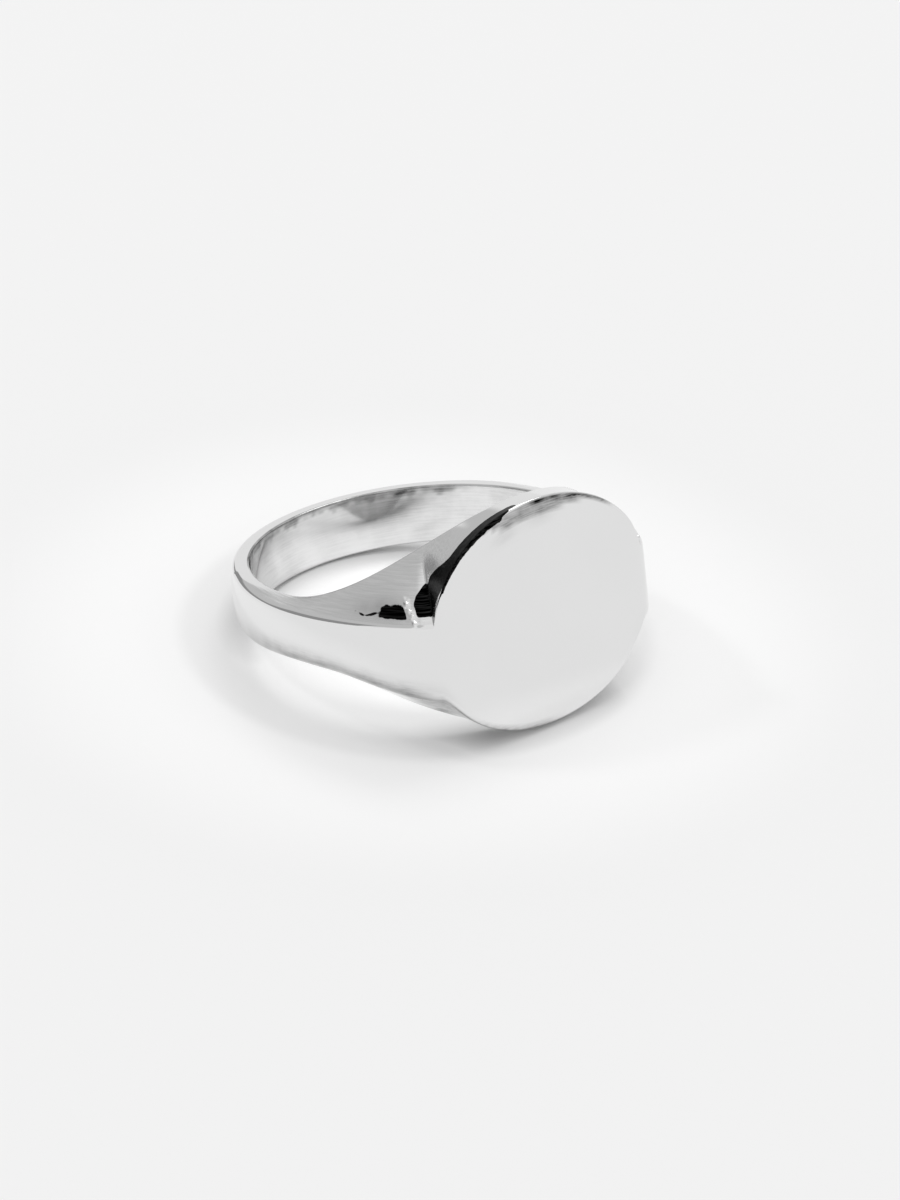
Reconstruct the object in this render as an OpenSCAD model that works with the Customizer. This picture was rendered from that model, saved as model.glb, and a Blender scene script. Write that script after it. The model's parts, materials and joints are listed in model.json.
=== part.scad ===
// Plain signet ring, lying on its side: a flat oval table on a low head, bevelled shoulders and a slim shank.
// The parts are soldered together. The finger hole is a true cylinder centred on the origin.
// Angles run round the finger from the middle of the table, positive towards +X.

/* [Finger hole] */
// Inside diameter of the ring
finger_d = 18; // [15:0.5:22]

/* [Shank] */
// Width of the band along the finger, at the back
band_w = 3.3; // [2.8:0.1:5]
// Thickness of the band at its edges, at the back
band_t = 0.95; // [0.8:0.05:1.6]
// Extra thickness of the band along its middle line
crown = 0.15; // [0.05:0.05:0.3]

/* [Table] */
// Size of the table's outline round the finger
table_w = 14.8; // [12:0.2:16]
// Size of the table's outline along the finger
table_h = 12.5; // [10:0.1:13]
// Squareness of the outline, where 2 is an ellipse
outline_power = 2.1; // [2:0.1:3]
// Thickness of the table's plate
plate_t = 1; // [0.9:0.1:1.1]

/* [Head and shoulders] */
// Metal between the finger hole and the face, at the middle of the table
head_t = 1.4; // [1.3:0.1:2.4]
// Length of the head's inner edge along the finger
head_w = 12.4; // [10:0.1:13]
// Width of the ridge left between the two bevels of a shoulder
ridge_w = 2.9; // [2:0.1:3.2]
// Extra width of the shoulders' outer surface on the lower side, beside the table
lower_fill = 1.3; // [0:0.1:1.8]
// How far the shoulders' outline would swell beyond the band at the middle of the head
shoulder_swell = 4.1; // [4:0.1:5]
// Depth of the hollow that runs up beside the table's upper edge
cove_depth = 0.1; // [0:0.05:0.2]

/* [Solder joints] */
// Angle from the table's middle to the joint between head and shoulder
head_joint = 40; // [38:0.5:40.5]
// Angle from the table's middle to the joint between shoulder and shank
shank_joint = 112; // [95:1:125]
// Thickness of a solder film
film_t = 0.06; // [0.04:0.01:0.12]

/* [Hidden] */
finger_r = finger_d / 2;
face_y = finger_r + head_t;
band_r = finger_r + band_t;
// Rounding of the inner edge, of the table's edge and of the band's edges, each made as one chamfer
rim_c = 0.1;
table_c = 0.1;
band_c = 0.28;
// Drop of the band's flat side from its inner edge to its outer edge
side_drop = 0.05;
// The bevel of a shoulder starts at the first angle and takes the whole side by the second
bevel_start = 120;
bevel_full = 84;
// How fast the ridge narrows as the bevel grows
bevel_power = 0.4;
// Where the extra width of the lower side starts and is full, and its blend into the table's outline
fill_start = 68;
fill_full = 30;
fill_blend = 1.2;
// Where the hollow starts and is deepest, where it starts to end and has ended, and its deepest place across a side
cove_start = 2;
cove_full = 34;
cove_fade = 35;
cove_end = 47;
cove_middle = 0.6;
// Where the band's crown starts and is full, and the blend between the face and a shoulder
crown_from = 30;
crown_full = 75;
corner_blend = 0.8;
// How fast the shoulders' swell fades towards the back
swell_power = 4.5;
// Depth of the blank metal inside the finger hole that the bore cuts away
bore_allowance = 0.5;
// Angle that a solder film takes up at the band's middle radius
film_deg = film_t / band_r * 180 / PI;
// Angular steps of the lofts
table_step = 5;
shoulder_step = 3;
shank_step = 4;
// Places along a side, from its rim to the edge's chamfer
side_places = [0.15, 0.3, 0.45, 0.6, 0.8, 1];
// Steps along a section from the blank metal inside the hole to the end of a side
side_points = len(side_places) + 1;
// Places across the outer surface, from the edge to the middle line
outer_places = [0.66, 0.33];
// Larger than any part, for the cutting tools
big = 60;

// The corner where the table's outline meets the ridge of a shoulder
notch_x = table_w / 2 * pow(1 - pow(ridge_w / table_h, outline_power), 1 / outline_power);
notch = atan(notch_x / face_y);

function mix(a, b, k) = a + (b - a) * k;
function rise(a, b, x) = let (k = min(max((x - a) / (b - a), 0), 1)) k * k * (3 - 2 * k);
function smooth_min(a, b, k) = let (s = max(k - abs(a - b), 0) / k) min(a, b) - s * s * k / 4;
function steps(from, to, step) =
    let (n = ceil(abs(to - from) / step))
    [for (i = [0 : n]) mix(from, to, i / n)];

// Half width of the ring along the finger, at the finger hole
function inner_half(a) = mix(band_w / 2, head_w / 2, pow(max(cos(a), 0), 2));

// Half height of the table's outline where the face is seen at this angle from the finger's axis
function outline_half(a) =
    let (u = turn(a) < 80 ? face_y * tan(turn(a)) / (table_w / 2) : 1)
    u < 1 ? table_h / 2 * pow(1 - pow(u, outline_power), 1 / outline_power) : 0;

// Angle from the table's middle, from 0 to 180 either way round
function turn(a) = min(abs(a), 360 - abs(a));

// 0 where the side of the band is flat, 1 where the bevel has taken it all
function bevel(a) = min(max((bevel_start - turn(a)) / (bevel_start - bevel_full), 0), 1);

// Half width along the finger at the outer edge
function flat_half(a) = inner_half(a) - side_drop;
function ridge_half(a) = mix(band_w / 2 - side_drop, ridge_w / 2, pow(bevel(a), bevel_power));
function upper_edge(a) = max(outline_half(a), ridge_half(a));
function lower_edge(a) =
    -smooth_min(-outline_half(a), -ridge_half(a) - lower_fill * rise(fill_start, fill_full, turn(a)), fill_blend);

// Radius of the outer surface: the flat face, blended into the shoulders
function body_radius(a) = band_r + shoulder_swell * pow((1 + cos(a)) / 2, swell_power);
function outer_radius(a) =
    turn(a) < 80 ? smooth_min(face_y / cos(a), body_radius(a), corner_blend) : body_radius(a);
function crown_at(a) = crown * rise(crown_from, crown_full, turn(a));
function edge_chamfer(a) = mix(table_c, band_c, rise(notch, bevel_full, turn(a)));

// Depth of the hollow beside the table's upper edge: deepest near the notch, and gone on the shoulder
function cove(a) = cove_depth * rise(cove_start, cove_full, turn(a)) * (1 - rise(cove_fade, cove_end, turn(a)));
function cove_shape(w) = min(w / cove_middle, (1 - w) / (1 - cove_middle));

// Height of a side at a fraction of its way from the rim to an edge: flat, then bevelled past the crease
function side_height(a, w, edge_z) =
    let (
        flat = mix(inner_half(a), flat_half(a), w),
        crease = 1 - max(bevel(a), 0.001),
        crease_z = mix(inner_half(a), flat_half(a), crease)
    )
    w < crease ? flat : mix(crease_z, edge_z, (w - crease) / (1 - crease));

// One side in [radius, height], from the metal inside the hole out to the ridge
function side_chain(a, edge_z, hollow) =
    let (
        rim = [finger_r + rim_c, inner_half(a)],
        edge = [outer_radius(a), edge_z],
        c = edge_chamfer(a),
        run = edge - rim,
        out = [-run.y, run.x] / norm(run),
        w_end = 1 - c / run.x
    )
    concat(
        [rim - [1, 1] * (rim_c + bore_allowance), rim],
        [for (k = side_places)
            let (w = k * w_end)
            [rim.x + w * run.x, side_height(a, w, edge_z)] - out * hollow * cove_shape(k)],
        [edge - [0, c]],
        [for (f = outer_places) [edge.x + crown_at(a) * (1 - f * f), (edge.y - c) * f]]
    );

function mirrored(chain) = [for (i = [len(chain) - 1 : -1 : 0]) [chain[i].x, -chain[i].y]];

// The closed outline of the ring's section at one angle
function section(a) =
    concat(
        side_chain(a, upper_edge(a), cove(a)),
        [[outer_radius(a) + crown_at(a), 0]],
        mirrored(side_chain(a, lower_edge(a), 0))
    );

// A solid lofted through the sections at the given angles
module loft(angles) {
    rows = [for (a = angles) section(a)];
    n = len(rows[0]);
    last = len(rows) - 1;
    points = [
        for (i = [0 : last])
            for (p = rows[i])
                [p.x * sin(angles[i]), -p.x * cos(angles[i]), p.y]
    ];
    // An end is strips between paired points, truly upright at the finger hole, and a fan round the outer surface
    s = side_points;
    start_cap = concat(
        [for (j = [0 : s - 1]) each [[j, j + 1, n - 2 - j], [j, n - 2 - j, n - 1 - j]]],
        [for (j = [s : n - 3 - s]) [n - 1 - s, j, j + 1]]
    );
    end_cap = [for (t = start_cap) [last * n + t[0], last * n + t[2], last * n + t[1]]];
    skin = [
        for (i = [0 : last - 1])
            for (j = [0 : n - 1])
                let (
                    a = i * n + j,
                    b = i * n + (j + 1) % n,
                    c = a + n,
                    d = b + n
                )
                each [[a, c, b], [b, c, d]]
    ];
    polyhedron(points, concat(start_cap, skin, end_cap));
}

// A stretch of the ring between two angles, with the finger hole bored through it
module bored(angles) {
    difference() {
        loft(angles);
        cylinder(h = big, r = finger_r, center = true, $fn = 96);
    }
}

// Angles across the head, evenly spaced along the table's outline and closing on both notches
notch_turn = asin(notch_x / (table_w / 2));
table_angles = [
    for (t = steps(-notch_turn, notch_turn, table_step))
        atan(table_w / 2 * sin(t) / face_y)
];
head_end = head_joint - film_deg / 2;
head_angles = concat([-head_end, -(head_end + notch) / 2], table_angles, [(head_end + notch) / 2, head_end]);

// What lies between two distances in front of the finger's axis
module slice_y(near, far) {
    intersection() {
        children();
        translate([-big / 2, -far, -big / 2]) cube([big, far - near, big]);
    }
}

// The lying ring touches its support along the head's inner edge and the band's lower back edge
rest_tilt = atan(
    (inner_half(0) - flat_half(180)) / (finger_r + rim_c + band_r - band_c)
);
module at_rest() {
    rotate([-rest_tilt, 0, 0]) children();
}

// The flat plate that carries the face
module table() {
    color("silver") at_rest() slice_y(face_y - plate_t, big) loft(head_angles);
}

module table_solder() {
    color("lightgray") at_rest() slice_y(face_y - plate_t - film_t, face_y - plate_t) loft(head_angles);
}

// The block under the plate, with the walls that run from the finger hole out to the table's edge
module head() {
    color("silver") at_rest() slice_y(0, face_y - plate_t - film_t) bored(head_angles);
}

module head_solder(side) {
    color("lightgray") at_rest()
        bored([side * head_joint - film_deg / 2, side * head_joint + film_deg / 2]);
}

module shoulder(side) {
    from = head_joint + film_deg / 2;
    to = shank_joint - film_deg / 2;
    color("silver") at_rest() bored(side > 0 ? steps(from, to, shoulder_step) : steps(-to, -from, shoulder_step));
}

module shank_solder(side) {
    color("lightgray") at_rest()
        bored([side * shank_joint - film_deg / 2, side * shank_joint + film_deg / 2]);
}

// The plain band round the back of the finger
module shank() {
    from = shank_joint + film_deg / 2;
    color("silver") at_rest() bored(steps(from, 360 - from, shank_step));
}

table();
table_solder();
head();
head_solder(-1);  // left_head_solder
head_solder(1);  // right_head_solder
shoulder(-1);  // left_shoulder
shoulder(1);  // right_shoulder
shank_solder(-1);  // left_shank_solder
shank_solder(1);  // right_shank_solder
shank();
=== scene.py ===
import json
import math

import bpy
import numpy as np
from mathutils import Matrix, Vector


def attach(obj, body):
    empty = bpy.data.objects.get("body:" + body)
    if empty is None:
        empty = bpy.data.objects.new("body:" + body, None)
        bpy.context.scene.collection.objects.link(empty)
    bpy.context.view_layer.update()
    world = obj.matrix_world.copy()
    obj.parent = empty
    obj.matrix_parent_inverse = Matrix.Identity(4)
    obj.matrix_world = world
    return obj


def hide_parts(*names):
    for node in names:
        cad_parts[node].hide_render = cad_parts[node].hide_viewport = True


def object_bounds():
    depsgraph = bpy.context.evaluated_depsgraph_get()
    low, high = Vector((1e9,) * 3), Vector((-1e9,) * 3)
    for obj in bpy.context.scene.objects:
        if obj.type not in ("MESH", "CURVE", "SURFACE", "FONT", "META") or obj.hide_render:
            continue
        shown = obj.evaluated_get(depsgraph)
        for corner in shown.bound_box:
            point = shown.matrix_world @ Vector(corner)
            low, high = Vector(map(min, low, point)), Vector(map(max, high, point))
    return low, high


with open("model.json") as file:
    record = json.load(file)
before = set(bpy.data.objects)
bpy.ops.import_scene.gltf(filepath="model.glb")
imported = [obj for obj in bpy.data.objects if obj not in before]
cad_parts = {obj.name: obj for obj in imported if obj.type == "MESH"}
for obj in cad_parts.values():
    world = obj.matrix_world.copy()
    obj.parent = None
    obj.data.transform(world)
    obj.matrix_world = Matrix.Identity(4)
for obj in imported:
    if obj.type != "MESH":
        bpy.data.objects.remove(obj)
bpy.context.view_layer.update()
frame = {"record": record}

MM = 0.001

# ------------------------------------------------------------------ sizes
# Millimetres and degrees, as part.scad has them. Angles run round the finger from the middle of the table.
mounts = {m["name"]: m for m in frame["record"]["mounts"]}
FINGER_R = mounts["finger_bore"]["dims"]["r_mm"]
TILT = math.atan2(mounts["finger_bore"]["axis"][1], mounts["finger_bore"]["axis"][2])
FACE_Y = Vector(mounts["table_face"]["pos_m"]).length / MM
BAND_R = FINGER_R + 0.95
BAND_W, CROWN, SIDE_DROP = 3.3, 0.15, 0.05
TABLE_W, TABLE_H, OUTLINE = 14.8, 12.5, 2.1
PLATE_T, HEAD_W, RIDGE_W, LOWER_FILL = 1.0, 12.4, 2.9, 1.3
SWELL, SWELL_POWER, CORNER = 4.1, 4.5, 0.8
HEAD_JOINT, SHANK_JOINT, FILM = 40.0, 112.0, 0.06
BEVEL_START, BEVEL_FULL = 120.0, 84.0
FILL_START, FILL_FULL, FILL_BLEND = 68.0, 30.0, 1.2
FILM_DEG = math.degrees(FILM / BAND_R)
NOTCH_X = TABLE_W / 2 * (1 - (RIDGE_W / TABLE_H) ** OUTLINE) ** (1 / OUTLINE)
NOTCH = math.degrees(math.atan(NOTCH_X / FACE_Y))
# The hollow under the table's edge, and the roundings of the rim, the table's edge and the band's edges
COVE = 0.1
RIM_ROUND, TABLE_ROUND, BAND_ROUND, SOFT_ROUND = 0.13, 0.13, 0.26, 0.7
# Points along half a section: bore wall, each rounding, side, outer surface
WALL_N, ROUND_N, SIDE_N, OUTER_N = 9, 9, 81, 21
# Index of the first and last point of the side in half a section
SIDE_START = WALL_N + ROUND_N - 2
SIDE_END = SIDE_START + SIDE_N - 1
# The solder bead: its angle at the table's edge, its slant in degrees a millimetre, its half width, its height
BEAD_AT, BEAD_SLANT, BEAD_HALF, BEAD_HIGH = 39.3, 1.6, 0.7, 0.11


def rise(a, b, x):
    """A smooth step from 0 at a to 1 at b."""
    k = np.clip((x - a) / (b - a), 0, 1)
    return k * k * (3 - 2 * k)


def plateau(a, b, c, d, x):
    """Rises from 0 to 1 between a and b, and falls back between c and d."""
    return rise(a, b, x) * (1 - rise(c, d, x))


def hill(middle, width, x):
    """A bell of height 1 round a middle."""
    return np.exp(-(((x - middle) / width) ** 2))


def smooth_min(a, b, k):
    """The smaller of two values, blended over a difference of k."""
    s = np.maximum(k - np.abs(a - b), 0) / k
    return np.minimum(a, b) - s * s * k / 4


def mix(a, b, k):
    """Goes from a to b as k goes from 0 to 1."""
    return a + (b - a) * k


def rounded(a, corner, b):
    """Rows of points that turn a corner from a to b."""
    s = np.linspace(0, 1, ROUND_N)[None, :, None]
    return (1 - s) ** 2 * a[:, None] + 2 * s * (1 - s) * corner[:, None] + s**2 * b[:, None]


def half_section(theta, lower):
    """Half of the section at each angle, as [radius, height], from the bore's middle line to the outer one.
    The lower half has the softer edges, and flows into the table with no notch."""
    t = np.abs(theta)
    cosine = np.cos(np.radians(t))
    inner = mix(BAND_W / 2, HEAD_W / 2, np.maximum(cosine, 0) ** 2)
    front = t < 80
    safe = np.where(front, np.radians(t), 0)
    u = np.where(front, FACE_Y * np.tan(safe) / (TABLE_W / 2), 2)
    outline = TABLE_H / 2 * np.clip(1 - np.minimum(u, 1) ** OUTLINE, 0, 1) ** (1 / OUTLINE)
    bevel = np.clip((BEVEL_START - t) / (BEVEL_START - BEVEL_FULL), 0, 1)
    flat = inner - SIDE_DROP
    ridge = mix(BAND_W / 2 - SIDE_DROP, RIDGE_W / 2, bevel**0.4)
    filled = ridge + LOWER_FILL * rise(FILL_START, FILL_FULL, t)
    edge_z = -smooth_min(-outline, -filled, FILL_BLEND) if lower else np.maximum(outline, ridge)
    body = BAND_R + SWELL * ((1 + cosine) / 2) ** SWELL_POWER
    radius = np.where(front, smooth_min(FACE_Y / np.cos(safe), body, CORNER), body)
    crown = CROWN * rise(30, 75, t)

    rim = np.stack([np.full_like(t, FINGER_R), inner], 1)
    run = np.stack([radius, edge_z], 1) - rim
    length = np.linalg.norm(run, axis=1)
    out = np.stack([-run[:, 1], run[:, 0]], 1) / length[:, None]

    # The side: flat at the back of the band, bevelled past a crease that crosses it
    side_round = mix(TABLE_ROUND, BAND_ROUND, rise(NOTCH, BEVEL_FULL, t))
    if lower:
        side_round = mix(mix(TABLE_ROUND, SOFT_ROUND, rise(22, 42, t)), BAND_ROUND, rise(55, 100, t))
    first, last = (RIM_ROUND / length)[:, None], (1 - side_round / length)[:, None]
    w = first + (last - first) * np.linspace(0, 1, SIDE_N)[None, :]
    crease = 1 - np.maximum(bevel, 0.001)[:, None]
    crease_z = mix(inner[:, None], flat[:, None], crease)
    flat_part = mix(inner[:, None], flat[:, None], w)
    # The bevel's surface flows on past the notch, and only its outer edge turns the corner there
    flowing = edge_z if lower else -smooth_min(-outline, -ridge, 1.3)
    edge_line = edge_z[:, None] + (flowing - edge_z)[:, None] * (1 - np.clip(w, 0, 1) ** 1.5)
    bevel_part = mix(crease_z, edge_line, (w - crease) / (1 - crease))
    both = ((bevel > 0.001) & (bevel < 0.999))[:, None]
    whole = np.where(bevel[:, None] >= 0.999, bevel_part, flat_part)
    side_z = np.where(both, smooth_min(flat_part, bevel_part, 0.05), whole)
    side = np.stack([rim[:, :1] + w * run[:, :1], side_z], 2)
    if not lower:
        # A hollow runs up beside the table's edge; past the notch it ends short of the ridge
        depth = COVE * plateau(2, 34, 35, 47, t)
        hollow = smooth_min(w / 0.6, (1 - w) / 0.4, 0.8)
        side -= out[:, None] * (depth[:, None] * hollow * rise(0, 0.06, w))[:, :, None]
        # The bead of solder that stands proud across the side, beside the joint
        from_edge = (1 - w) * length[:, None]
        wander = 0.35 * np.sin(7 * from_edge) + 0.2 * np.sin(17 * from_edge + 1)
        bead = hill(BEAD_AT + BEAD_SLANT * from_edge + wander, BEAD_HALF, t[:, None])
        bead = bead * plateau(0, 0.2, 1.3, 2, from_edge)
        lumps = 0.6 + 0.4 * np.sin(11 * from_edge + 2) * np.sin(3 * t[:, None])
        side += out[:, None] * (BEAD_HIGH * bead * lumps)[:, :, None]

    wall_top = rim - [0, RIM_ROUND]
    wall = wall_top[:, None] * np.stack([np.ones(WALL_N), np.linspace(0, 1, WALL_N)], 1)[None]
    z1 = edge_z - side_round
    r1 = radius + crown * (1 - (z1 / edge_z) ** 2)
    corner = np.stack([r1 - 2 * crown * z1 / edge_z**2 * side_round, edge_z], 1)
    z = np.linspace(1, 0, OUTER_N)[None] * z1[:, None]
    outer = np.stack([radius[:, None] + crown[:, None] * (1 - (z / edge_z[:, None]) ** 2), z], 2)
    parts = [wall, rounded(wall_top, rim, side[:, 0]), side, rounded(side[:, -1], corner, outer[:, 0]), outer]
    return np.concatenate([p[:, (k > 0):] for k, p in enumerate(parts)], 1)


def finish_and_shade_of(theta, half, lower):
    """The metal's finish and painted shade at each point of half a section: how dark (real stains and painted
    dark reflection), how brushed, and how grey (soot and painted shade and reflections) it is, and the lay that
    patterns run along, which is the angle, the height and the distance from the side's outer edge."""
    signed = theta[:, None]
    t = np.abs(signed)
    edge = half[:, SIDE_END][:, None]
    z = half[:, :, 1]
    from_edge = np.linalg.norm(half - edge, axis=2)
    below = edge[:, :, 1] - z
    column = np.arange(half.shape[1])[None, :]
    in_bore, outside = column < SIDE_START, column > SIDE_END
    on_side = ~in_bore & ~outside
    left = signed < 0
    dark, brushed = np.zeros_like(from_edge), np.zeros_like(from_edge)

    # Painted reflections in the bore: a little grey, less so at the back, and a darker patch to the right of the
    # back, which mirrors the shadow under the head
    soot_and_shade = in_bore * (0.1 + 0.08 * plateau(-180, -160, 140, 160, signed))
    soot_and_shade = soot_and_shade + 0.3 * in_bore * hill(152, 11, signed) * hill(0.8, 0.8, -z if lower else z)
    if lower:
        # Painted shade on the lower edges of the shoulders and the head's foot, mostly on the left: the shadowed
        # floor reflected in them
        reflected_shade_weight = np.where(left, 1, 0.4)
        near_edge = (column > SIDE_START) * (1 - rise(0.1, 1.5, below) * outside)
        soot_and_shade = soot_and_shade + 0.42 * reflected_shade_weight * near_edge * plateau(28, 44, 72, 130, t)
        # A thin painted dark line along the lower edge of the face, shade where it comes down to the floor
        soot_and_shade = soot_and_shade + 0.5 * hill(0, 0.2, below) * (column >= SIDE_END) * plateau(-38, -28, -8, 6, signed)
        # A painted dark band on the lower side beside the head, shade where the band comes down to the floor
        on_slope = (column > SIDE_START) & (column < SIDE_END)
        soot_and_shade = soot_and_shade + 0.62 * reflected_shade_weight * on_slope * plateau(12, 22, 32, 50, t)
    else:
        # Painted black on the steep wall under the table's edge, from a point beside the top of the table down
        # to the notch: a dark reflection painted into the colour
        near = 0.5 * rise(31, 36, t)
        far = 0.2 + 0.02 * t + 1.9 * rise(27, 38.5, t)
        last = 39.3 - np.where(from_edge > 1.2, 2.4, 1.2) * (from_edge - 1.2) ** 2
        wall = plateau(near - 0.06, near + 0.001, far - 0.1, far + 0.1, from_edge)
        wall *= rise(3, 8, t) * (1 - rise(-0.6, 0.5, t - last))
        # The stain left beside the bead, and its thin tail along the ridge
        stain = plateau(0.1, 0.5, 0.75, 1.5, from_edge)
        stain *= rise(41, 41.8, t - 1.2 * from_edge + 0.6) * (1 - rise(46, 52, t))
        tail = 0.62 * hill(0.5 + 0.1 * np.sin(0.8 * t), 0.13, from_edge) * plateau(46, 50, 54, 62, t)
        # The wall's painted black reflection runs over the table's rounded edge
        over = 0.34 * plateau(6, 18, 29, 35, t)
        rolled_over = (1 - rise(over - 0.03, over + 0.03, below)) * outside * (over > 0.03)
        dark = np.maximum(np.maximum(wall, np.maximum(stain, tail)) * on_side, rolled_over) * left
        brushed = on_side * plateau(20, 30, 90, 112, t)
        # Soot round the stain, thinning out along the bevel
        soot = 0.24 * plateau(39, 45, 48, 66, t) * hill(0.9, 0.75, from_edge)
        soot_and_shade = soot_and_shade + soot * on_side * left
        # Painted grey reflection on the rolled edge along the top of the table, a thin painted dark line in it,
        # and smears on the face below it
        deep = 0.95 * plateau(-20, -9, 2, 29, signed)
        rolled = plateau(0.08, 0.14, deep * 0.75, deep + 0.1, below) * (deep > 0.02)
        soot_and_shade = soot_and_shade + 0.55 * rolled * outside
        line = 0.8 * hill(0.13, 0.09, below) * plateau(-7, 2, 24, 28, signed) * (column >= SIDE_END)
        smear = 0.14 * hill(-11, 4, signed) * hill(1.15, 0.35, below)
        smear = smear + 0.12 * hill(2, 5, signed) * hill(1.05, 0.3, below)
        soot_and_shade = np.maximum(soot_and_shade, line) + smear * outside
        # A wavy grey lip round the back of the bore, and two streaks across it
        lip = 1.3 + 0.1 * np.cos(0.5 * signed) + 0.06 * np.cos(1.3 * signed)
        soot_and_shade = soot_and_shade + 0.45 * in_bore * rise(lip - 0.15, lip + 0.1, z) * rise(118, 130, t)
        soot_and_shade = soot_and_shade + in_bore * (0.3 * hill(-131, 2.5, signed) + 0.2 * hill(-122, 2, signed))
    # The lay's angle runs back to 0 at the back of the band, so that patterns meet there
    lay_turn = np.broadcast_to(np.sign(signed) * np.minimum(t, 180 - t), z.shape)
    return np.stack([dark, brushed, soot_and_shade, lay_turn, z, from_edge], 2)


def angles():
    """Every angle of the whole ring, and where each joint's film begins and ends."""
    f = FILM_DEG / 2
    stops = [-180, -SHANK_JOINT - f, -SHANK_JOINT + f, -HEAD_JOINT - f, -HEAD_JOINT + f, -30, 30]
    stops += [HEAD_JOINT - f, HEAD_JOINT + f, SHANK_JOINT - f, SHANK_JOINT + f, 180]
    # How many steps each stretch has: most on the shoulders and the head, four across a film
    counts = [150, 4, 200, 4, 44, 120, 44, 4, 200, 4, 150]
    spans = [np.linspace(a, b, n, endpoint=False) for a, b, n in zip(stops, stops[1:], counts)]
    return np.concatenate(spans + [[180.0]])


THETA = angles()
upper, lower = half_section(THETA, False), half_section(THETA, True)
HALF = upper.shape[1]
section = np.concatenate([upper, lower[:, -2:0:-1] * [1, -1]], 1)
finish_and_shade = np.concatenate([finish_and_shade_of(THETA, upper, False), finish_and_shade_of(THETA, lower, True)[:, -2:0:-1]], 1)
turn = np.radians(THETA)[:, None]
ring = np.stack([section[:, :, 0] * np.sin(turn), -section[:, :, 0] * np.cos(turn), section[:, :, 1]], 2)


def normals_of(points):
    """Smooth normals of the ring's grid, which closes both across and round the finger."""
    across = np.roll(points, -1, 1) - np.roll(points, 1, 1)
    wide = np.concatenate([points[-4:-1], points, points[1:4]])
    where = np.concatenate([THETA[-4:-1] - 360, THETA, THETA[1:4] + 360])
    along = np.gradient(wide, where, axis=0)[3:-3]
    n = np.cross(along, across)
    return n / np.linalg.norm(n, axis=2, keepdims=True)


normals = normals_of(ring)
# They all point outwards if the one in the middle of the face does
if normals[len(THETA) // 2, HALF - 1, 1] > 0:
    normals = -normals

# Turns the ring about X, from lying flat to the way it lies at rest
REST = np.array([[1, 0, 0], [0, math.cos(TILT), math.sin(TILT)], [0, -math.sin(TILT), math.cos(TILT)]])


# What each mesh carries as attributes, besides the lay: its finishes, and painted shade and reflections
FINISH_AND_SHADE_NAMES = ("dark", "brushed", "soot_and_shade")


def solid(name, rows, row_normals, row_finish_and_shade, shown):
    """A closed solid lofted through rows of points, which are mirror images across each row's middle.
    shown says which columns are the ring's own surface; the rest are cut faces, and so are the two ends."""
    count, m = rows.shape[:2]
    mirror = [(m - j) % m for j in range(m)] if all(shown) else [m - 1 - j for j in range(m)]
    verts = rows.reshape(-1, 3) @ REST.T * MM
    smooth = (row_normals @ REST.T).reshape(-1, 3)
    i, j = np.meshgrid(np.arange(count - 1), np.arange(m), indexing="ij")
    k = (j + 1) % m
    faces = np.stack([i * m + j, (i + 1) * m + j, (i + 1) * m + k, i * m + k], 2).reshape(-1, 4).tolist()
    on_skin = np.array(shown)[j].reshape(-1).tolist()
    # The two ends: strips between each point and its mirror image
    for base, forward in ((0, True), ((count - 1) * m, False)):
        for q in range(m // 2 + 1):
            f = list(dict.fromkeys([base + q, base + (q + 1) % m, base + mirror[(q + 1) % m], base + mirror[q]]))
            if len(f) > 2 and (q + 1) % m <= m // 2:
                faces.append(f if forward else f[::-1])
                on_skin.append(False)
    tri = [(f[0], f[n], f[n + 1]) for f in faces for n in range(1, len(f) - 1)]
    p = verts[np.array(tri)]
    if np.sum(np.einsum("ij,ij->i", p[:, 0], np.cross(p[:, 1], p[:, 2]))) < 0:
        faces = [f[::-1] for f in faces]
    mesh = bpy.data.meshes.new(name)
    mesh.from_pydata([tuple(v) for v in verts], [], faces)
    mesh.update()
    mesh.polygons.foreach_set("use_smooth", [True] * len(mesh.polygons))
    # The ring's own surface is shaded smoothly, the cut faces flat
    custom = []
    for poly, skin in zip(mesh.polygons, on_skin):
        custom += [tuple(smooth[v]) if skin else tuple(poly.normal) for v in poly.vertices]
    mesh.normals_split_custom_set(custom)
    finish_and_shade_values = row_finish_and_shade.reshape(-1, 6).astype(np.float32)
    for column, label in enumerate(FINISH_AND_SHADE_NAMES):
        mesh.attributes.new(label, "FLOAT", "POINT").data.foreach_set("value", finish_and_shade_values[:, column])
    lay = mesh.attributes.new("lay", "FLOAT_VECTOR", "POINT")
    lay.data.foreach_set("vector", finish_and_shade_values[:, 3:].ravel())
    obj = bpy.data.objects.new(name, mesh)
    bpy.context.scene.collection.objects.link(obj)
    return obj


def stretch(a, b):
    """Rows of the grid from one angle to another."""
    return np.where((THETA >= a - 1e-6) & (THETA <= b + 1e-6))[0]


made = {}
f = FILM_DEG / 2  # half of a joint's film
full = [True] * section.shape[1]
for name, a, b in (
    ("left_shoulder", -SHANK_JOINT + f, -HEAD_JOINT - f),
    ("right_shoulder", HEAD_JOINT + f, SHANK_JOINT - f),
    ("left_head_solder", -HEAD_JOINT - f, -HEAD_JOINT + f),
    ("right_head_solder", HEAD_JOINT - f, HEAD_JOINT + f),
    ("left_shank_solder", -SHANK_JOINT - f, -SHANK_JOINT + f),
    ("right_shank_solder", SHANK_JOINT - f, SHANK_JOINT + f),
):
    rows = stretch(a, b)
    made[name] = solid(name, ring[rows], normals[rows], finish_and_shade[rows], full)
rows = np.concatenate([stretch(SHANK_JOINT + f, 180), stretch(-180, -SHANK_JOINT - f)[1:]])
made["shank"] = solid("shank", ring[rows], normals[rows], finish_and_shade[rows], full)


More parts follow.
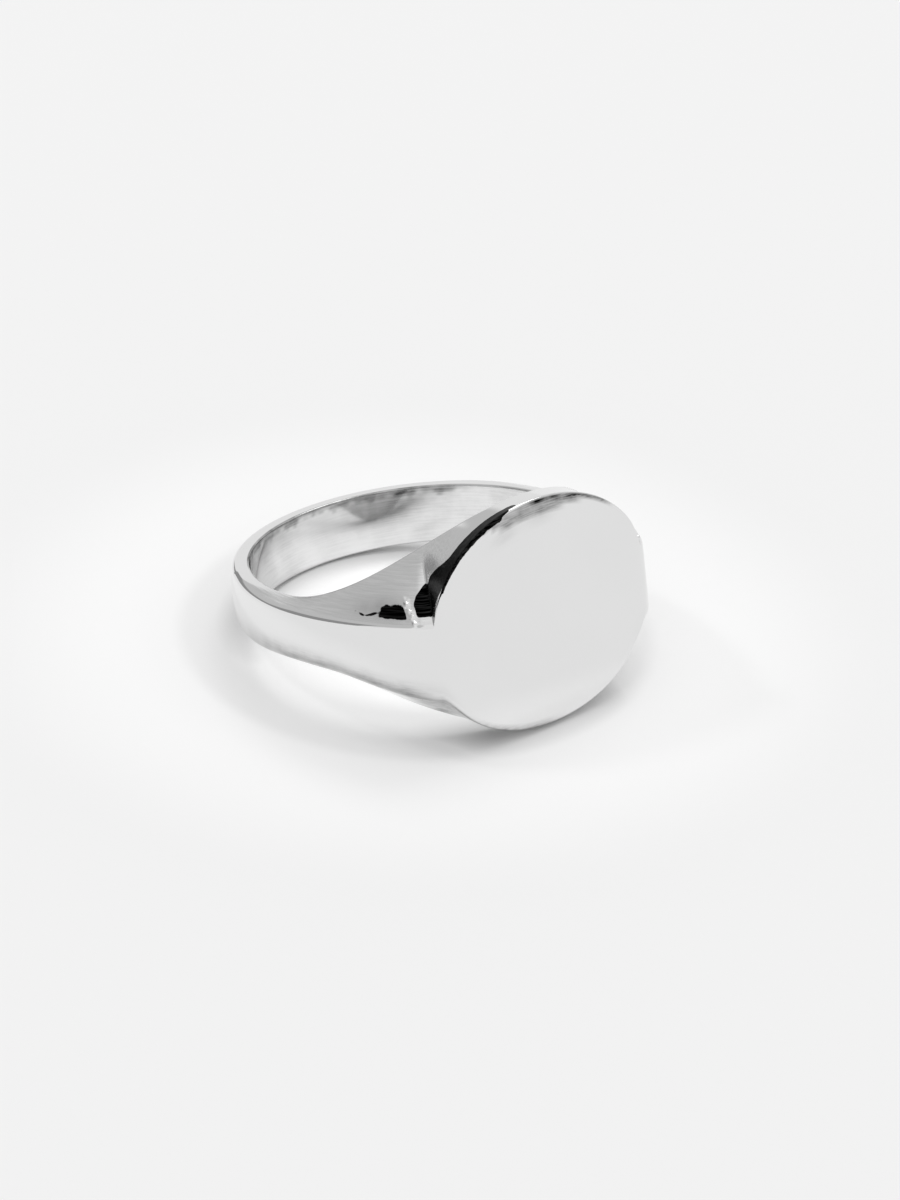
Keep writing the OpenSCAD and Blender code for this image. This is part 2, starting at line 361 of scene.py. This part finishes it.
def cut_head():
    """The head's stretch, cut by two planes parallel to the face into table, solder film and head."""
    table_n, film_n, head_n = 24, 5, 36  # points along the side of each piece
    rows = stretch(-HEAD_JOINT + f, HEAD_JOINT - f)
    place = np.arange(HALF, dtype=float)
    side = slice(SIDE_START, SIDE_END + 1)
    columns = (np.arange(HALF), (-np.arange(HALF)) % section.shape[1])
    cuts = {"table": ([], []), "table_solder": ([], []), "head": ([], [])}
    for row in rows:
        for which, order in enumerate(columns):
            known = np.concatenate([ring[row, order], normals[row, order], finish_and_shade[row, order]], 1)
            q1, q2 = np.interp([FACE_Y - PLATE_T - FILM, FACE_Y - PLATE_T], -known[side, 1], place[side])
            for name, where in (
                ("table", np.concatenate([np.linspace(q2, SIDE_END, table_n), place[SIDE_END + 1 :]])),
                ("table_solder", np.linspace(q1, q2, film_n)),
                ("head", np.concatenate([place[:SIDE_START], np.linspace(SIDE_START, q1, head_n)])),
            ):
                cuts[name][which].append(np.stack([np.interp(where, place, values) for values in known.T], 1))
    for name, halves in cuts.items():
        a, b = np.array(halves[0]), np.array(halves[1])
        if name == "head":
            a, b = a[:, ::-1], b[:, ::-1]
        if name == "table_solder":
            k = a.shape[1]
            joined = np.concatenate([a, b[:, ::-1]], 1)
            shown = [j not in (k - 1, 2 * k - 1) for j in range(2 * k)]
        else:
            joined = np.concatenate([a, b[:, -2::-1]], 1)
            shown = [True] * (joined.shape[1] - 1) + [False]
        p, n = joined[:, :, :3], joined[:, :, 3:6]
        made[name] = solid(name, p, n / np.linalg.norm(n, axis=2, keepdims=True), joined[:, :, 6:], shown)


cut_head()

# ------------------------------------------------------------------ materials


def node(tree, kind, **values):
    """A new node, with its settings and its inputs' values given by name."""
    n = tree.nodes.new(kind)
    for key, value in values.items():
        if hasattr(n, key):
            setattr(n, key, value)
        else:
            n.inputs[key].default_value = value
    return n


def put(tree, socket, value):
    """Feeds a socket with another node's output, or sets it to a plain value."""
    if isinstance(value, bpy.types.NodeSocket):
        tree.links.new(value, socket)
    else:
        socket.default_value = value


def maths(tree, operation, *values):
    n = node(tree, "ShaderNodeMath", operation=operation)
    for socket, value in zip(n.inputs, values):
        put(tree, socket, value)
    return n.outputs[0]


def noise(tree, vector, scale, detail):
    n = node(tree, "ShaderNodeTexNoise", Scale=scale, Detail=detail)
    tree.links.new(vector, n.inputs["Vector"])
    return n.outputs["Fac"]


def remap(tree, value, source, target, kind="LINEAR"):
    """The value carried from one range to another."""
    n = node(tree, "ShaderNodeMapRange", interpolation_type=kind)
    tree.links.new(value, n.inputs["Value"])
    n.inputs["From Min"].default_value, n.inputs["From Max"].default_value = source
    n.inputs["To Min"].default_value, n.inputs["To Max"].default_value = target
    return n.outputs[0]


def new_material(name):
    mat = bpy.data.materials.new(name)
    mat.use_nodes = True
    return mat, mat.node_tree, mat.node_tree.nodes["Principled BSDF"]


def silver(name, colour):
    """Silver with brushed bevels, painted dark reflections and shade as well as real stains and soot where the
    mesh says so, and fine polishing marks.
    """
    mat, tree, shader = new_material(name)

    def times(a, b):
        return maths(tree, "MULTIPLY", a, b)

    place = node(tree, "ShaderNodeTexCoord").outputs["Object"]
    dark, brushed, soot_and_shade = (
        node(tree, "ShaderNodeAttribute", attribute_name=label).outputs["Fac"] for label in FINISH_AND_SHADE_NAMES
    )
    # Streaks are long round the finger and fine across it
    along = node(tree, "ShaderNodeMapping", vector_type="POINT")
    along.inputs["Scale"].default_value = (0.035, 3.2, 3.2)
    lay = node(tree, "ShaderNodeAttribute", attribute_name="lay").outputs["Vector"]
    tree.links.new(lay, along.inputs["Vector"])
    streaks = noise(tree, along.outputs[0], 3.0, 6.0)
    cloud = noise(tree, place, 260.0, 4.0)
    marks = noise(tree, place, 1400.0, 3.0)

    # Clean silver is a little greyer along the brush lines
    greyer = times(brushed, remap(tree, streaks, (0.35, 0.65), (0.1, 0.0)))
    clean = maths(tree, "SUBTRACT", remap(tree, cloud, (0.3, 0.7), (0.985, 1.0)), greyer)
    # Where it is dark it is near black, with a ragged edge: stain below holds the real stain and the painted
    # black reflection on the wall
    ragged = times(maths(tree, "SUBTRACT", noise(tree, place, 2600.0, 5.0), 0.5), 0.8)
    edged = remap(tree, maths(tree, "ADD", dark, ragged), (0.44, 0.56), (0.0, 1.0))
    stain = times(edged, remap(tree, dark, (0.03, 0.3), (0.0, 1.0)))
    depth = remap(tree, streaks, (0.45, 0.75), (1.0, 0.96))
    shade = maths(tree, "SUBTRACT", 1.0, times(stain, depth))
    # Where soot or painted shade and reflection lie it is grey in blotches and streaks
    blotches = remap(tree, noise(tree, place, 700.0, 4.0), (0.36, 0.62), (0.65, 1.2))
    mottle = times(soot_and_shade, times(blotches, remap(tree, streaks, (0.38, 0.62), (0.8, 1.15))))
    factor = times(times(clean, shade), maths(tree, "SUBTRACT", 1.0, mottle))
    grey = node(tree, "ShaderNodeCombineColor")
    for label in ("Red", "Green", "Blue"):
        tree.links.new(factor, grey.inputs[label])
    tint = node(tree, "ShaderNodeMix", data_type="RGBA", blend_type="MULTIPLY")
    tint.inputs["Factor"].default_value = 1.0
    tint.inputs["A"].default_value = (*colour, 1)
    tree.links.new(grey.outputs[0], tint.inputs["B"])
    tree.links.new(tint.outputs["Result"], shader.inputs["Base Color"])

    rougher = times(brushed, remap(tree, streaks, (0.3, 0.7), (0.06, 0.13)))
    rough = maths(tree, "ADD", remap(tree, marks, (0.35, 0.65), (0.05, 0.08)), rougher)
    tree.links.new(rough, shader.inputs["Roughness"])
    shader.inputs["Metallic"].default_value = 1.0

    height = maths(tree, "ADD", times(brushed, streaks), times(marks, 0.05))
    bump = node(tree, "ShaderNodeBump", Distance=0.00004)
    tree.links.new(height, bump.inputs["Height"])
    tree.links.new(times(shade, 0.25), bump.inputs["Strength"])
    tree.links.new(bump.outputs[0], shader.inputs["Normal"])
    return mat


polished = silver("polished_silver", (0.83, 0.83, 0.83))
solder = silver("silver_solder", (0.83, 0.83, 0.825))
for name, obj in made.items():
    is_solder = name.endswith("solder")
    obj.name = name + "_surface"
    obj.data.materials.append(solder if is_solder else polished)
    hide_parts(name)
    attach(obj, "root")

# ------------------------------------------------------------------ floor, light and camera
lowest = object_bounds()[0].z
FLOOR_SIDE, FLOOR_BACK = 1.5, 0.3  # metres to either side and the front, and to the back
front_edge = [(-FLOOR_SIDE, -FLOOR_SIDE, 0), (FLOOR_SIDE, -FLOOR_SIDE, 0)]
back_edge = [(FLOOR_SIDE, FLOOR_BACK, 0), (-FLOOR_SIDE, FLOOR_BACK, 0)]
floor_mesh = bpy.data.meshes.new("floor")
floor_mesh.from_pydata(front_edge + back_edge, [], [(0, 1, 2, 3)])
floor = bpy.data.objects.new("floor", floor_mesh)
floor.location = (0, 0, lowest)
bpy.context.scene.collection.objects.link(floor)

paper, paper_tree, paper_shader = new_material("paper")
paper_shader.inputs["Base Color"].default_value = (0.6, 0.6, 0.6, 1)
paper_shader.inputs["Roughness"].default_value = 0.9
paper_shader.inputs["Emission Color"].default_value = (1, 1, 1, 1)
paper_shader.inputs["Specular IOR Level"].default_value = 0.0
spot = node(paper_tree, "ShaderNodeTexCoord").outputs["Object"]
away = node(paper_tree, "ShaderNodeVectorMath", operation="LENGTH")
paper_tree.links.new(spot, away.inputs[0])


def step_out(near, far, to_near, to_far):
    """A value that changes smoothly between two distances from the object's middle, in millimetres."""
    return remap(paper_tree, away.outputs["Value"], (near * MM, far * MM), (to_near, to_far), "SMOOTHSTEP")


# Painted light on the paper: it glows by itself, with painted shade where the object nearly touches it, and
# painted pools of light inside and beside the polished band, standing in for the light it throws down
PAINTED_GLOW = 0.275
painted_contact_shade = node(paper_tree, "ShaderNodeAmbientOcclusion", Distance=0.0016, samples=8)
painted_thrown_light = maths(paper_tree, "MULTIPLY", step_out(12.2, 13.4, 0.0, 0.07), step_out(15.0, 26.0, 1.0, 0.0))
painted_pool = maths(paper_tree, "ADD", step_out(9.2, 10.8, 0.1, 0.0), step_out(6.5, 8.6, 0.12, 0.0))
painted_glow_level = maths(paper_tree, "ADD", maths(paper_tree, "ADD", painted_pool, painted_thrown_light), PAINTED_GLOW)
glow = maths(paper_tree, "MULTIPLY", maths(paper_tree, "POWER", painted_contact_shade.outputs["AO"], 1.2), painted_glow_level)
paper_tree.links.new(glow, paper_shader.inputs["Emission Strength"])
fibres = node(paper_tree, "ShaderNodeBump", Strength=0.05, Distance=0.0001)
paper_tree.links.new(noise(paper_tree, spot, 900.0, 3.0), fibres.inputs["Height"])
paper_tree.links.new(fibres.outputs[0], paper_shader.inputs["Normal"])
floor_mesh.materials.append(paper)


def toward(azimuth, elevation):
    """The direction at an azimuth round the object, 0 in front of it, and an elevation above the horizon."""
    a, e = math.radians(azimuth), math.radians(elevation)
    return Vector((math.sin(a) * math.cos(e), -math.cos(a) * math.cos(e), math.sin(e)))


world = bpy.data.worlds.new("studio")
bpy.context.scene.world = world
world.use_nodes = True
sky = world.node_tree
sky.nodes.clear()
split = node(sky, "ShaderNodeSeparateXYZ")
sky.links.new(node(sky, "ShaderNodeTexCoord").outputs["Generated"], split.inputs[0])
# Degrees above the horizon, and degrees round from straight behind the object
above = maths(sky, "DEGREES", maths(sky, "ARCSINE", split.outputs["Z"]))
leftward = maths(sky, "MULTIPLY", split.outputs["X"], -1.0)
aside = maths(sky, "DEGREES", maths(sky, "ARCTAN2", leftward, split.outputs["Y"]))


def between(value, low, high, soft):
    """1 where the value lies between two bounds, fading over some degrees outside them."""
    over = remap(sky, value, (low - soft, low), (0.0, 1.0), "SMOOTHSTEP")
    under = remap(sky, value, (high + soft, high), (0.0, 1.0), "SMOOTHSTEP")
    return maths(sky, "MULTIPLY", over, under)


def blended(factor, first, second):
    """Goes from one brightness to another as the factor goes from 0 to 1."""
    blend = node(sky, "ShaderNodeMix", data_type="FLOAT")
    put(sky, blend.inputs["Factor"], factor)
    put(sky, blend.inputs["A"], first)
    put(sky, blend.inputs["B"], second)
    return blend.outputs[0]


# The studio's plain brightness, and the screens in it that the polished metal reflects: from and to in degrees
# aside and above, how soft each pair of edges is, and how bright the screen is
tone = 0.85
for left, right, soft_x, bottom, top, soft_y, level in (
    (-24, 100, 4, 13, 56, 8, 0.57),
    (-34, -11, 4, 31, 62, 5, 0.95),
    (-22, 28, 3, -14, 11, 2, 0.3),
    (24, 75, 3, -14, 22, 3, 0.3),
):
    screen = maths(sky, "MULTIPLY", between(aside, left, right, soft_x), between(above, bottom, top, soft_y))
    tone = blended(screen, tone, level)
# The camera itself sees a plain pale backdrop
BACKDROP = 0.88
sky_light = node(sky, "ShaderNodeBackground", Strength=1.0)
tone = blended(node(sky, "ShaderNodeLightPath").outputs["Is Camera Ray"], tone, BACKDROP)
sky.links.new(tone, sky_light.inputs["Color"])
sky.links.new(sky_light.outputs[0], node(sky, "ShaderNodeOutputWorld").inputs[0])


def area_light(name, azimuth, elevation, width, height, power, reflected):
    """A soft light 1.2 metres from the object. The metal reflects its shape only if reflected is true."""
    lamp = bpy.data.lights.new(name, "AREA")
    lamp.shape = "RECTANGLE"
    lamp.size, lamp.size_y, lamp.energy = width, height, power
    obj = bpy.data.objects.new(name, lamp)
    back = toward(azimuth, elevation)
    obj.location = back * 1.2
    obj.rotation_mode = "QUATERNION"
    obj.rotation_quaternion = (-back).to_track_quat("-Z", "Y")
    obj.visible_glossy = reflected
    bpy.context.scene.collection.objects.link(obj)


area_light("softbox", 121, 56, 0.45, 0.35, 2.1, True)
area_light("overhead", 0, 86, 0.3, 0.3, 0.8, False)
area_light("second_softbox", -140, 48, 0.16, 0.16, 1.5, False)

camera_data = bpy.data.cameras.new("camera")
camera = bpy.data.objects.new("camera", camera_data)
bpy.context.scene.collection.objects.link(camera)
bpy.context.scene.camera = camera
camera_data.lens, camera_data.sensor_width = 188.0, 36.0
camera_data.clip_start, camera_data.clip_end = 0.01, 10
# Degrees and millimetres: where the camera stands, and how far aside and up from the origin it aims
CAMERA_AZ, CAMERA_EL, CAMERA_ROLL, CAMERA_AWAY = -41.39, 31.09, 3.14, 337.0
AIM_RIGHT, AIM_UP = 1.670, -1.552
back = toward(CAMERA_AZ, CAMERA_EL)
right = Vector((math.cos(math.radians(CAMERA_AZ)), math.sin(math.radians(CAMERA_AZ)), 0))
up = back.cross(right)
roll = math.radians(CAMERA_ROLL)
right, up = right * math.cos(roll) + up * math.sin(roll), up * math.cos(roll) - right * math.sin(roll)
aim = (right * AIM_RIGHT + up * AIM_UP) * MM
turned = Matrix((right, up, back)).transposed().to_4x4()
camera.matrix_world = Matrix.Translation(aim + back * CAMERA_AWAY * MM) @ turned

bpy.context.scene.view_settings.view_transform = "Standard"
